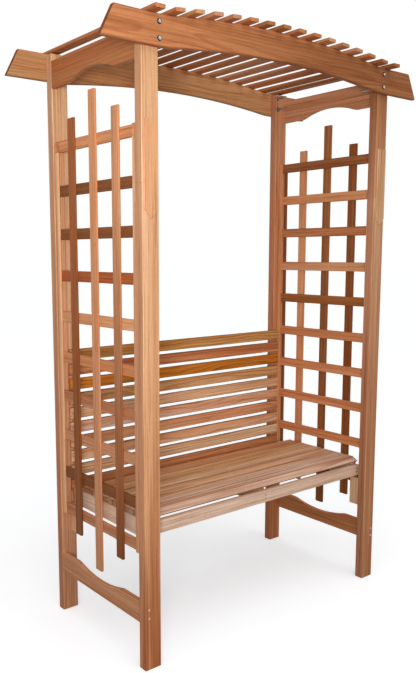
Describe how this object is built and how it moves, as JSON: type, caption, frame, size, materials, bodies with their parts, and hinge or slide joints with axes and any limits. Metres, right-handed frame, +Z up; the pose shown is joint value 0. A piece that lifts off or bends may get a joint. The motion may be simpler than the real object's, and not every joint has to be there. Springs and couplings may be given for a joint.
{
  "type": "garden_arbour_seat",
  "caption": "Wooden garden arbour seat: slatted bench and back between four posts, trellis sides, and a gently arched slatted roof on two overhanging beams",
  "frame": {"origin": "centre of the footprint on the ground, under the middle of the bench", "axes": "X across the width, positive to the sitter's left; Y from front to back, so the open front faces -Y; Z up along the posts"},
  "size_m": [1.51, 0.695, 2.1283],
  "materials": {
    "post_wood": "satin",
    "beam_wood": "satin",
    "roof_wood": "satin",
    "rail_wood": "satin",
    "trellis_wood": "satin",
    "seat_wood": "satin",
    "bench_frame_wood": "satin",
    "back_wood": "satin",
    "fastener_steel": "satin"
  },
  "bodies": {
    "root": {"back_slat_01": "back_wood", "back_slat_02": "back_wood", "back_slat_03": "back_wood", "back_slat_04": "back_wood", "back_slat_05": "back_wood", "back_slat_06": "back_wood", "back_slat_07": "back_wood", "back_slat_08": "back_wood", "back_slat_09": "back_wood", "back_slat_10": "back_wood", "bottom_side_rail_left": "rail_wood", "bottom_side_rail_right": "rail_wood", "front_beam": "beam_wood", "front_post_left_lower": "post_wood", "front_post_left_upper": "post_wood", "front_post_right_lower": "post_wood", "front_post_right_upper": "post_wood", "rear_beam": "beam_wood", "rear_post_left": "post_wood", "rear_post_right": "post_wood", "roof_slat_01": "roof_wood", "roof_slat_02": "roof_wood", "roof_slat_03": "roof_wood", "roof_slat_04": "roof_wood", "roof_slat_05": "roof_wood", "roof_slat_06": "roof_wood", "roof_slat_07": "roof_wood", "roof_slat_08": "roof_wood", "roof_slat_09": "roof_wood", "roof_slat_10": "roof_wood", "roof_slat_11": "roof_wood", "roof_slat_12": "roof_wood", "roof_slat_13": "roof_wood", "roof_slat_14": "roof_wood", "roof_slat_15": "roof_wood", "roof_slat_16": "roof_wood", "seat_apron_front": "bench_frame_wood", "seat_apron_rear": "bench_frame_wood", "seat_bearer_left": "bench_frame_wood", "seat_bearer_middle": "bench_frame_wood", "seat_bearer_right": "bench_frame_wood", "seat_block_front_left": "bench_frame_wood", "seat_block_front_right": "bench_frame_wood", "seat_block_rear_left": "bench_frame_wood", "seat_block_rear_right": "bench_frame_wood", "seat_slat_1": "seat_wood", "seat_slat_2": "seat_wood", "seat_slat_3": "seat_wood", "seat_slat_4": "seat_wood", "seat_slat_5": "seat_wood", "seat_slat_6": "seat_wood", "splice_plate_left": "post_wood", "splice_plate_right": "post_wood", "top_side_rail_left": "rail_wood", "top_side_rail_right": "rail_wood", "trellis_left": "trellis_wood", "trellis_right": "trellis_wood"}
  },
  "joints": []
}
